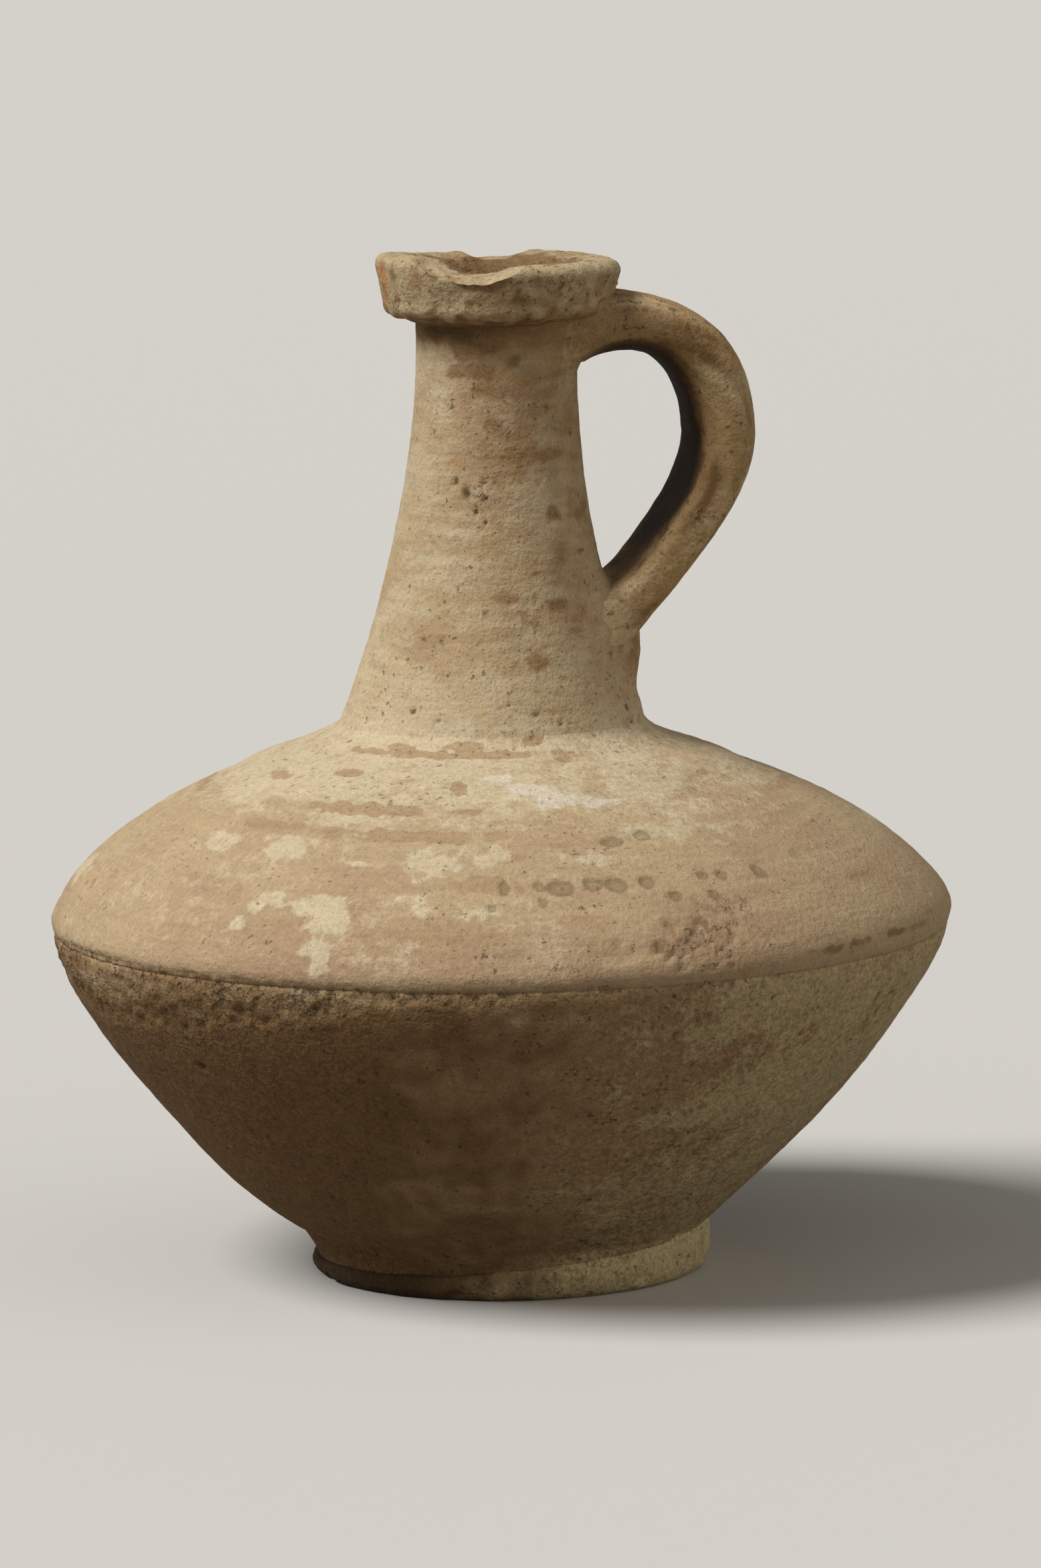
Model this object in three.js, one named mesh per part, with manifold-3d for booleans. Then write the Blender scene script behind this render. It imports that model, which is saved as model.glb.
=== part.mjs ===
// Lagynos: a clay jug with a sharp-edged body, a tall neck, a collar rim and one strap handle.
// Its pieces were thrown, rolled or pulled one by one and luted together with slip before firing.
// Millimetres, +Z up. The origin is the centre of the circle that the foot stands on.
// The handle points along +X.
import * as THREE from 'three';
import { LoftGeometry } from 'three/addons/geometries/LoftGeometry.js';
import { mergeVertices } from 'three/addons/utils/BufferGeometryUtils.js';
import Module from 'manifold-3d';

const wasm = await Module();
wasm.setup();

// Slip between two luted pieces
const SLIP = 0.3;

// Foot: a clay ring that levels the slanting cut under the bowl
const FOOT_RADIUS = 38; // edge that stands on the table
const FOOT_BULGE = 1.6; // swelling of the ring past that edge
const FOOT_ROUNDING = 3; // height over which the standing edge is rounded
const FOOT_RING_WIDTH = 11;
const FOOT_HEIGHT_HANDLE_SIDE = 9.5;
const FOOT_HEIGHT_FAR_SIDE = 3.5;

// Body: bowl and shoulder meet in a sharp edge
const BODY_WALL = 6;
const EDGE_RADIUS = 88.4;

const BOWL_BASE_RADIUS = 36.8; // cove of the wall, carried down to the table
const BOWL_COVE_RADIUS = 41.4;
const BOWL_COVE_HEIGHT = 9.5;
const BOWL_HEIGHT = 62.5; // middle of the foot's top to the sharp edge
const BOWL_TURN_INSET = 6.5; // where the wall's slope and its steep top would cross,
const BOWL_TURN_DROP = 23.5; // measured in and down from the sharp edge
const FLOOR_THICKNESS = 6;

const ROLL_OVERHANG = 0.6; // rounded roll above the sharp edge
const ROLL_RISE = 2;
const SHOULDER_RISE = 36.8; // sharp edge to the neck's seat
const DOME_SIDE_RISE = 6.6; // steepness of the dome above the roll
const DOME_CROWN_INSET = 16.4; // fullness of the dome,
const DOME_CROWN_DROP = 9; // measured in from the roll and down from the seat
const SHOULDER_HOLE_RADIUS = 24.5;

// Neck
const NECK_WALL = 5;
const NECK_LENGTH = 82;
const NECK_BASE_RADIUS = 31.4;
const NECK_WAIST_RADIUS = 14.2; // bend of the flare
const NECK_WAIST_RISE = 47;
const NECK_TOP_RADIUS = 16.1;

// Coil smoothed over the joint of shoulder and neck
const COIL_SPREAD = 22; // out over the shoulder
const COIL_CLIMB = 7.5; // up the neck
const COIL_LIP = 0.5; // thickness at both edges

// Collar rim
const RIM_HEIGHT = 12.7;
const RIM_RADIUS = 24.3;
const RIM_TAPER = 1.8; // narrowing of the side towards its lower edge
const RIM_FOOT_RADIUS = 19.5; // where the underside turns up into the side
const RIM_UNDERSIDE_RISE = 1.4;
const RIM_EDGE_RISE = 3; // rounding of the lower edge
const RIM_BEVEL = 2.5; // rounding of the top's outer edge
const RIM_CREST_RADIUS = 19.8;
const MOUTH_DEPTH = 6; // rounding of the top into the bore

const CHIP_ANGLE = THREE.MathUtils.degToRad(-121); // place of the break in the rim
const CHIP_HALF_WIDTH = 9;
const CHIP_HALF_DEPTH = 14; // through the whole thickness of the collar
const CHIP_DROP = 3.8; // below the crest
const CHIP_RADIUS = 5.5;

// Strap handle
const HANDLE_WIDTH = 26;
const HANDLE_ROOT_WIDTH = 27;
const HANDLE_THICKNESS = 10.8;
const HANDLE_SQUARENESS = 0.65; // 1 is an oval section, less is squarer
const HANDLE_UPPER_THICKNESS = 10; // at the upper root
const HANDLE_LOWER_THICKNESS = 8; // at the lower root
const HANDLE_TOP_DROP = 1; // neck's top down to the middle of the upper root
const HANDLE_CROWN_RUN = 39.5; // how far out, and how high, the strap rises before it bends
const HANDLE_CROWN_RISE = 3;
const HANDLE_REACH = 46; // neck's axis to the middle of the strap at its farthest
const HANDLE_REACH_DROP = 23; // neck's top down to that farthest point
const HANDLE_UPPER_BEND = 18; // length of the upright stretch above and below that point
const HANDLE_LOWER_BEND = 13;
const HANDLE_ROOT_RADIUS = 17; // where the strap's middle line ends inside the neck
const HANDLE_ROOT_RISE = 12.4;
const HANDLE_SLANT_RUN = 13.5; // slant of the strap into the lower root
const HANDLE_SLANT_RISE = 19;

// Clay patches between the handle's roots and the neck
const PATCH_THICKNESS = 1.6;
const PATCH_MARGIN = 2.2;

// Facets
const ROUND_SIDES = 48;
const CURVE_STEPS = 8; // steps along each curve of a profile
const STRAP_STEPS = 26;
const STRAP_SIDES = 16;
const PATCH_SIDES = 32;
const WELD = 1e-4; // points closer than this are one

// Heights that follow from the sizes above
const footMiddle = (FOOT_HEIGHT_HANDLE_SIDE + FOOT_HEIGHT_FAR_SIDE) / 2;
const footSlope = Math.atan2(FOOT_HEIGHT_HANDLE_SIDE - FOOT_HEIGHT_FAR_SIDE, 2 * FOOT_RADIUS);
const edgeZ = footMiddle + BOWL_HEIGHT;
const seatZ = edgeZ + SHOULDER_RISE;
const neckTopZ = seatZ + NECK_LENGTH;
const rimZ = neckTopZ + SLIP;
const topZ = neckTopZ + RIM_HEIGHT;

const v2 = (r, z) => new THREE.Vector2(r, z);

// Profile tools: a profile is a list of (radius, height) points.

// Moves each point of a profile sideways, to the left of its direction where distance is positive.
function offset(profile, distance) {
  return profile.map((point, i) => {
    const before = profile[Math.max(i - 1, 0)];
    const after = profile[Math.min(i + 1, profile.length - 1)];
    const along = after.clone().sub(before).normalize();
    return v2(point.x - along.y * distance, point.y + along.x * distance);
  });
}

// Keeps the stretch of a profile whose coordinate lies between two values, with its ends on them.
function between(profile, coordinate, low, high) {
  const kept = [];
  profile.forEach((point, i) => {
    const here = point[coordinate];
    const last = profile[Math.max(i - 1, 0)];
    const step = here - last[coordinate];
    [low, high]
      .map((limit) => (limit - last[coordinate]) / step)
      .filter((share) => share > 0 && share < 1)
      .sort((a, b) => a - b)
      .forEach((share) => kept.push(last.clone().lerp(point, share)));
    if (here >= low && here <= high) kept.push(point.clone());
  });
  return kept;
}

const reversed = (profile) => [...profile].reverse();

// Solid tools

// A closed geometry as a solid that can be joined and cut.
function solid(geometry) {
  const bare = new THREE.BufferGeometry().setIndex(geometry.index);
  bare.setAttribute('position', geometry.getAttribute('position'));
  const merged = mergeVertices(bare, WELD);
  const triVerts = [];
  for (let i = 0; i < merged.index.count; i += 3) {
    const [a, b, c] = [0, 1, 2].map((k) => merged.index.getX(i + k));
    if (a !== b && b !== c && c !== a) triVerts.push(a, b, c);
  }
  return new wasm.Manifold(new wasm.Mesh({
    numProp: 3,
    vertProperties: merged.attributes.position.array,
    triVerts: new Uint32Array(triVerts),
  }));
}

// Revolves a profile, listed anticlockwise with radius to the right and height up, about +Z.
function revolve(profile) {
  const closed = [...profile, profile[0]];
  return solid(new THREE.LatheGeometry(closed, ROUND_SIDES).rotateX(Math.PI / 2));
}

// A piece of clay as a named mesh.
function piece(name, shape, color, roughness) {
  const { numProp, vertProperties, triVerts } = shape.getMesh();
  const geometry = new THREE.BufferGeometry();
  geometry.setAttribute('position', new THREE.BufferAttribute(vertProperties, numProp));
  geometry.setIndex(new THREE.BufferAttribute(triVerts, 1));
  geometry.computeVertexNormals();
  const clay = new THREE.MeshStandardMaterial({ color, roughness, metalness: 0 });
  const mesh = new THREE.Mesh(geometry, clay);
  mesh.name = name;
  return mesh;
}

// Everything below the slanting plane on which the bowl sits, raised by a gap.
function belowSeat(gap) {
  const size = 4 * EDGE_RADIUS;
  const slab = new THREE.BoxGeometry(size, size, size).translate(0, 0, -size / 2);
  return solid(slab.rotateY(-footSlope).translate(0, 0, footMiddle + gap));
}

// Outer profiles, from the bottom up

const bowlOutside = new THREE.Path()
  .moveTo(BOWL_BASE_RADIUS, 0)
  .lineTo(BOWL_COVE_RADIUS, BOWL_COVE_HEIGHT)
  .quadraticCurveTo(EDGE_RADIUS - BOWL_TURN_INSET, edgeZ - BOWL_TURN_DROP, EDGE_RADIUS, edgeZ)
  .getPoints(CURVE_STEPS);

const rollRadius = EDGE_RADIUS + ROLL_OVERHANG;
const rollZ = edgeZ + ROLL_RISE;
const dome = new THREE.CubicBezierCurve(
  v2(rollRadius, rollZ),
  v2(rollRadius, rollZ + DOME_SIDE_RISE),
  v2(rollRadius - DOME_CROWN_INSET, seatZ - DOME_CROWN_DROP),
  v2(NECK_BASE_RADIUS, seatZ),
).getPoints(CURVE_STEPS);

const neckOutside = new THREE.QuadraticBezierCurve(
  v2(NECK_BASE_RADIUS, seatZ + SLIP),
  v2(NECK_WAIST_RADIUS, seatZ + NECK_WAIST_RISE),
  v2(NECK_TOP_RADIUS, neckTopZ),
).getPoints(CURVE_STEPS);

const rimOutside = new THREE.Path()
  .moveTo(NECK_TOP_RADIUS, rimZ)
  .lineTo(RIM_FOOT_RADIUS, rimZ + RIM_UNDERSIDE_RISE)
  .quadraticCurveTo(
    RIM_RADIUS - RIM_TAPER,
    rimZ + RIM_UNDERSIDE_RISE,
    RIM_RADIUS - RIM_TAPER,
    rimZ + RIM_UNDERSIDE_RISE + RIM_EDGE_RISE,
  )
  .lineTo(RIM_RADIUS, topZ - RIM_BEVEL)
  .quadraticCurveTo(RIM_RADIUS, topZ, RIM_CREST_RADIUS, topZ)
  .getPoints(CURVE_STEPS / 2);

// Pieces

function footRing() {
  const inner = FOOT_RADIUS - FOOT_RING_WIDTH;
  const outer = FOOT_RADIUS + FOOT_BULGE;
  const blankTop = FOOT_HEIGHT_HANDLE_SIDE + FOOT_HEIGHT_FAR_SIDE + FOOT_ROUNDING;
  const profile = new THREE.Path()
    .moveTo(inner, 0)
    .lineTo(FOOT_RADIUS, 0)
    .quadraticCurveTo(outer, 0, outer, FOOT_ROUNDING)
    .lineTo(outer, blankTop)
    .lineTo(inner, blankTop)
    .getPoints(CURVE_STEPS / 2);
  return revolve(profile).intersect(belowSeat(0));
}

function lowerBowl() {
  const floorZ = FOOT_HEIGHT_HANDLE_SIDE + FLOOR_THICKNESS;
  const inside = between(offset(bowlOutside, BODY_WALL), 'y', floorZ, edgeZ);
  const profile = [v2(0, 0), ...bowlOutside, ...reversed(inside), v2(0, floorZ)];
  return revolve(profile).subtract(belowSeat(SLIP));
}

function shoulder() {
  const outside = [v2(EDGE_RADIUS, edgeZ + SLIP), ...dome];
  const inside = between(offset(outside, BODY_WALL), 'y', edgeZ + SLIP, seatZ);
  const hole = [v2(SHOULDER_HOLE_RADIUS, seatZ), v2(SHOULDER_HOLE_RADIUS, seatZ - BODY_WALL)];
  const foot = v2(EDGE_RADIUS - BODY_WALL, edgeZ + SLIP);
  return revolve([...outside, ...hole, ...reversed(inside), foot]);
}

function neck() {
  const inside = between(offset(neckOutside, NECK_WALL), 'y', seatZ + SLIP, neckTopZ);
  return revolve([...neckOutside, ...reversed(inside)]);
}

// The coil's own outline, or with a gap the room that it needs.
function neckLutingCoil(gap) {
  const reach = NECK_BASE_RADIUS + COIL_SPREAD;
  const climb = seatZ + COIL_CLIMB;
  const bed = between(offset(dome, -SLIP), 'x', NECK_BASE_RADIUS + SLIP, reach);
  const wall = between(offset(neckOutside, -SLIP), 'y', seatZ + SLIP, climb);
  const lip = COIL_LIP + gap;
  const foot = bed[0].clone().add(v2(0, lip));
  const head = wall[wall.length - 1].clone().add(v2(lip, 0));
  const corner = v2(NECK_BASE_RADIUS + SLIP + lip, seatZ + SLIP + lip);
  const face = new THREE.QuadraticBezierCurve(foot, corner, head).getPoints(CURVE_STEPS);
  return revolve([...face, ...reversed(wall), ...reversed(bed)]);
}

function rimCollar() {
  const bore = NECK_TOP_RADIUS - NECK_WALL;
  const crest = v2(RIM_CREST_RADIUS, topZ);
  const lip = new THREE.QuadraticBezierCurve(crest, v2(bore, topZ), v2(bore, topZ - MOUTH_DEPTH));
  const profile = [...rimOutside, ...lip.getPoints(CURVE_STEPS / 2).slice(1), v2(bore, rimZ)];
  const chip = new THREE.SphereGeometry(1, ROUND_SIDES / 3, ROUND_SIDES / 4)
    .scale(CHIP_HALF_DEPTH, CHIP_HALF_WIDTH, CHIP_RADIUS)
    .translate(RIM_RADIUS, 0, topZ - CHIP_DROP + CHIP_RADIUS)
    .rotateZ(CHIP_ANGLE);
  return revolve(profile).subtract(solid(chip));
}

// Middle line of the strap, out from the upper root, over the crown and down into the lower root.
const strapLine = new THREE.CurvePath();
{
  const rootZ = neckTopZ - HANDLE_TOP_DROP;
  const crown = new THREE.Vector3(HANDLE_CROWN_RUN, 0, rootZ + HANDLE_CROWN_RISE);
  const far = new THREE.Vector3(HANDLE_REACH, 0, neckTopZ - HANDLE_REACH_DROP);
  const end = new THREE.Vector3(HANDLE_ROOT_RADIUS, 0, seatZ + HANDLE_ROOT_RISE);
  const up = (height) => far.clone().setZ(far.z + height);
  const slant = end.clone().add(new THREE.Vector3(HANDLE_SLANT_RUN, 0, HANDLE_SLANT_RISE));
  const start = new THREE.Vector3(NECK_TOP_RADIUS - NECK_WALL, 0, rootZ);
  strapLine.add(new THREE.CubicBezierCurve3(start, crown, up(HANDLE_UPPER_BEND), far));
  strapLine.add(new THREE.CubicBezierCurve3(far, up(-HANDLE_LOWER_BEND), slant, end));
}

// Rounded strap section across the middle line, wider and thinner towards each root.
function strapSection(share) {
  const middle = strapLine.getPointAt(share);
  const along = strapLine.getTangentAt(share);
  const outward = new THREE.Vector3(0, 1, 0).cross(along);
  const rootThickness = share < 0.5 ? HANDLE_UPPER_THICKNESS : HANDLE_LOWER_THICKNESS;
  const rootShare = Math.abs(2 * share - 1);
  const halfWidth = THREE.MathUtils.lerp(HANDLE_WIDTH, HANDLE_ROOT_WIDTH, rootShare ** 3) / 2;
  const halfThickness = THREE.MathUtils.lerp(HANDLE_THICKNESS, rootThickness, rootShare) / 2;
  const flatten = (value) => Math.sign(value) * Math.abs(value) ** HANDLE_SQUARENESS;
  return Array.from({ length: STRAP_SIDES }, (_, i) => {
    const angle = (i / STRAP_SIDES) * 2 * Math.PI;
    const point = middle.clone().addScaledVector(outward, halfThickness * flatten(Math.cos(angle)));
    return point.setY(halfWidth * flatten(Math.sin(angle)));
  });
}

// The neck as a full solid, swollen by a gap and carried up to a height.
function neckRoom(gap, upTo) {
  const outside = between(offset(neckOutside, -gap), 'y', seatZ + SLIP, neckTopZ);
  return revolve([v2(0, seatZ + SLIP), ...outside, v2(NECK_TOP_RADIUS + gap, upTo), v2(0, upTo)]);
}

function rimRoom() {
  const outside = offset(rimOutside, -SLIP);
  return revolve([v2(0, rimZ - SLIP), ...outside, v2(0, topZ)]);
}

function strapHandle() {
  const sections = Array.from({ length: STRAP_STEPS + 1 }, (_, i) => strapSection(i / STRAP_STEPS));
  const strap = solid(new LoftGeometry(sections, { capStart: true, capEnd: true }));
  return strap
    .subtract(neckRoom(SLIP + PATCH_THICKNESS + SLIP, rimZ))
    .subtract(rimRoom())
    .subtract(neckLutingCoil(SLIP));
}

// Height at which a line that starts inside the neck comes out of it.
function exitHeight(line) {
  const neckRadius = (z) => between(neckOutside, 'y', z, neckTopZ)[0].x;
  return line.find((point) => point.x >= neckRadius(point.z)).z;
}

// Clay wafer moulded to the neck, a little larger than the root that is pressed on it.
function lutingPatch(middleZ, rootHeight) {
  const halfWidth = HANDLE_ROOT_WIDTH / 2 + PATCH_MARGIN;
  const halfHeight = rootHeight / 2 + PATCH_MARGIN;
  const sheet = neckRoom(SLIP + PATCH_THICKNESS, neckTopZ).subtract(neckRoom(SLIP, rimZ));
  const reach = NECK_BASE_RADIUS + NECK_TOP_RADIUS;
  const punch = new THREE.CylinderGeometry(1, 1, reach, PATCH_SIDES)
    .rotateZ(Math.PI / 2)
    .scale(1, halfWidth, halfHeight)
    .translate(reach / 2, 0, middleZ);
  return sheet.intersect(solid(punch)).subtract(neckLutingCoil(SLIP));
}

const [upperLine, lowerLine] = strapLine.curves.map((curve) => curve.getPoints(2 * STRAP_STEPS));
const slantStretch = Math.hypot(HANDLE_SLANT_RUN, HANDLE_SLANT_RISE) / HANDLE_SLANT_RUN;
const upperPatch = lutingPatch(exitHeight(upperLine), HANDLE_UPPER_THICKNESS);
const lowerPatch = lutingPatch(exitHeight(reversed(lowerLine)), HANDLE_LOWER_THICKNESS * slantStretch);

const lagynos = new THREE.Group();
lagynos.name = 'lagynos';
lagynos.add(
  piece('foot_ring', footRing(), 0xb79f76, 0.92),
  piece('lower_bowl', lowerBowl(), 0x9c8259, 0.94),
  piece('shoulder', shoulder(), 0xc8b086, 0.9),
  piece('neck_luting_coil', neckLutingCoil(0), 0xb99c70, 0.92),
  piece('neck', neck(), 0xbda47a, 0.9),
  piece('rim_collar', rimCollar(), 0xb8976a, 0.9),
  piece('strap_handle', strapHandle(), 0xb39a6e, 0.92),
  piece('upper_luting_patch', upperPatch, 0xb0966b, 0.93),
  piece('lower_luting_patch', lowerPatch, 0xb0966b, 0.93),
);

export default lagynos;
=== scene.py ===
import math
import random

import bmesh
import bpy
import numpy as np
from mathutils import Matrix, Vector
from mathutils.geometry import interpolate_bezier


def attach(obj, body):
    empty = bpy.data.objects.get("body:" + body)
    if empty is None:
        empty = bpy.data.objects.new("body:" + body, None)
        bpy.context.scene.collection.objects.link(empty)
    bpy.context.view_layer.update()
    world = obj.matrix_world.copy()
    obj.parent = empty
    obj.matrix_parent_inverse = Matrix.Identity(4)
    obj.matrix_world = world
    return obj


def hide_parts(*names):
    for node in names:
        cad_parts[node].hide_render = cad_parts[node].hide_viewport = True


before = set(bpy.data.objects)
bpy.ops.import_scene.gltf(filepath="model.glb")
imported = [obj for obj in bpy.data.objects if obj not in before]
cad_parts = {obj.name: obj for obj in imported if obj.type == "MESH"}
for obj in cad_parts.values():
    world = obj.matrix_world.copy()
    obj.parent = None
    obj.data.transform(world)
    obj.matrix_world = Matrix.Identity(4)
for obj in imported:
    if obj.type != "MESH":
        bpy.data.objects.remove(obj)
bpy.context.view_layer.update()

# Lagynos: a fired clay jug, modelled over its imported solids. The handle points along +X.
# Sizes are in millimetres and are turned into metres when a mesh is finished.
MM = 0.001

# Viewpoint: the handle points right and a little away
VIEW_TURN = math.radians(-13)
VIEW_DISTANCE = 1562.5
VIEW_HEIGHT = 310.4
VIEW_PITCH = math.radians(7.8)
VIEW_ASIDE = math.radians(0.1516)
VIEW_ROLL = math.radians(0.85)
LENS = 183.25
FILM_HEIGHT = 36
TO_RIGHT = Vector((math.cos(VIEW_TURN), math.sin(VIEW_TURN), 0))
TO_BACK = Vector((-math.sin(VIEW_TURN), math.cos(VIEW_TURN), 0))

# The jug leans a little: height, and shift of the axis to the right
LEAN_HEIGHTS = (0, 5, 8, 11, 14, 18, 23, 30, 38, 50, 57, 63, 69, 75, 80, 88, 94, 101, 106, 109, 112, 119, 125, 147,
                170, 188, 200)
LEAN_SHIFTS = (0.3, 0.25, -0.2, -0.95, -1.5, -1.8, -1.75, -1.35, -1, -0.95, -0.75, -0.45, -0.1, 0.25, -0.25, -0.85,
               -1.35, -1.95, -2, -1.45, -1.15, -0.85, -0.7, -0.3, 0.3, 0.85, 1.45)
FOOT_ASIDE = 1

# Main sizes
FOOT_MIDDLE = 6.5  # height of the slanting cut at the axis
FOOT_SLOPE = 6 / 76
EDGE_Z = 69
EDGE_INNER_RADIUS = 82.6
SEAM = 0.1
SEAT_Z = 105.8
SHOULDER_HOLE = 24.5
NECK_TOP_Z = 187.8
NECK_END_Z = 189  # hidden in the collar
COLLAR_FOOT_Z = 187.9
CREST_Z = 200.5
BORE_RADIUS = 11.1
BODY_WALL = 6
NECK_WALL = 5
FLOOR_Z = 15.5


def srgb(red, green, blue):
    """A screen colour, 0 to 255, as the linear colour that a shader takes."""
    parts = (channel / 255 for channel in (red, green, blue))
    linear = [p / 12.92 if p <= 0.04045 else ((p + 0.055) / 1.055) ** 2.4 for p in parts]
    return (*linear, 1)


# Outlines, as lists of (radius, height)

def arc(*pulls, steps=48):
    """The curve that three or four points pull."""
    points = [Vector((r, z, 0)) for r, z in pulls]
    if len(points) == 3:
        start, middle, end = points
        points = [start, start.lerp(middle, 2 / 3), end.lerp(middle, 2 / 3), end]
    return [(p.x, p.y) for p in interpolate_bezier(*points, steps)]


def even(line, gap):
    """The same line with its points about one gap apart."""
    line = np.array(line)
    reach = np.concatenate([[0], np.cumsum(np.hypot(*np.diff(line, axis=0).T))])
    stops = np.linspace(0, reach[-1], max(2, round(reach[-1] / gap) + 1))
    return [(np.interp(s, reach, line[:, 0]), np.interp(s, reach, line[:, 1])) for s in stops]


def inward(line, depth):
    """The line moved to the left of its direction."""
    line = np.array(line)
    along = np.gradient(line, axis=0)
    along /= np.hypot(along[:, 0], along[:, 1])[:, None]
    return [tuple(p) for p in line + depth * np.column_stack([-along[:, 1], along[:, 0]])]


BOWL = [(36.2, 0), (40.3, 9.5)] + arc((40.3, 9.5), (57.7, 21.2), (89, 58.8), (88.4, EDGE_Z))[1:]
DOME = arc((89, 71), (89.7, 74.8), (77.3, 94.8), (31.4, SEAT_Z))
NECK = arc((31.4, 106), (14.2, 152.8), (16.1, NECK_TOP_Z))


def neck_radius(height):
    line = np.array(NECK)
    return np.interp(height, line[:, 1], line[:, 0])


def dome_height(radius):
    line = np.array(DOME)[::-1]
    return np.interp(radius, line[:, 0], line[:, 1])


def turned(outline, sides):
    """A closed outline spun through a sixteenth of a turn, then copied round the jug's axis."""
    bm = bmesh.new()
    verts = [bm.verts.new((r * MM, 0, z * MM)) for r, z in outline]
    edges = [bm.edges.new(pair) for pair in zip(verts, verts[1:] + verts[:1])]
    bmesh.ops.spin(bm, geom=verts + edges, cent=(0, 0, 0), axis=(0, 0, 1),
                   angle=math.pi / 8, steps=sides // 16)
    for part in (8, 4, 2, 1):
        copy = bmesh.ops.duplicate(bm, geom=bm.verts[:] + bm.edges[:] + bm.faces[:])["geom"]
        bmesh.ops.rotate(bm, cent=(0, 0, 0), matrix=Matrix.Rotation(math.pi / part, 3, "Z"),
                         verts=[item for item in copy if isinstance(item, bmesh.types.BMVert)])
    bmesh.ops.remove_doubles(bm, verts=bm.verts, dist=1e-6)
    bmesh.ops.recalc_face_normals(bm, faces=bm.faces)
    return bm


# Skin: where each point of a piece lies, and what the potter and time did there
SLOPES = np.array([(1, 1, 0), (-1, 1, 0), (1, -1, 0), (-1, -1, 0), (1, 0, 1), (-1, 0, 1),
                   (1, 0, -1), (-1, 0, -1), (0, 1, 1), (0, -1, 1), (0, 1, -1), (0, -1, -1)], float).T
CELL_CODES = (73856093, 19349663, 83492791)
STIR = 6682652
LOW_BITS = 0xffffff


def uneven(x, y, z):
    """Smooth unevenness from about -1 to 1, one lump to a unit."""
    cells = [np.floor(way).astype(np.int64) for way in (x, y, z)]
    parts = [way - cell for way, cell in zip((x, y, z), cells)]
    eases = [part * part * part * (part * (part * 6 - 15) + 10) for part in parts]
    total = np.zeros(len(x))
    for a in (0, 1):
        for b in (0, 1):
            for c in (0, 1):
                code = sum((cell + step) * mixer for cell, step, mixer in zip(cells, (a, b, c), CELL_CODES))
                code = (code ^ (code >> 9)) * STIR
                pick = ((code ^ (code >> 15)) & LOW_BITS) % SLOPES.shape[1]
                rise = SLOPES[0][pick] * (parts[0] - a) + SLOPES[1][pick] * (parts[1] - b)
                rise += SLOPES[2][pick] * (parts[2] - c)
                rise *= eases[0] if a else 1 - eases[0]
                rise *= eases[1] if b else 1 - eases[1]
                rise *= eases[2] if c else 1 - eases[2]
                total += rise
    return 1.2 * total


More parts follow.
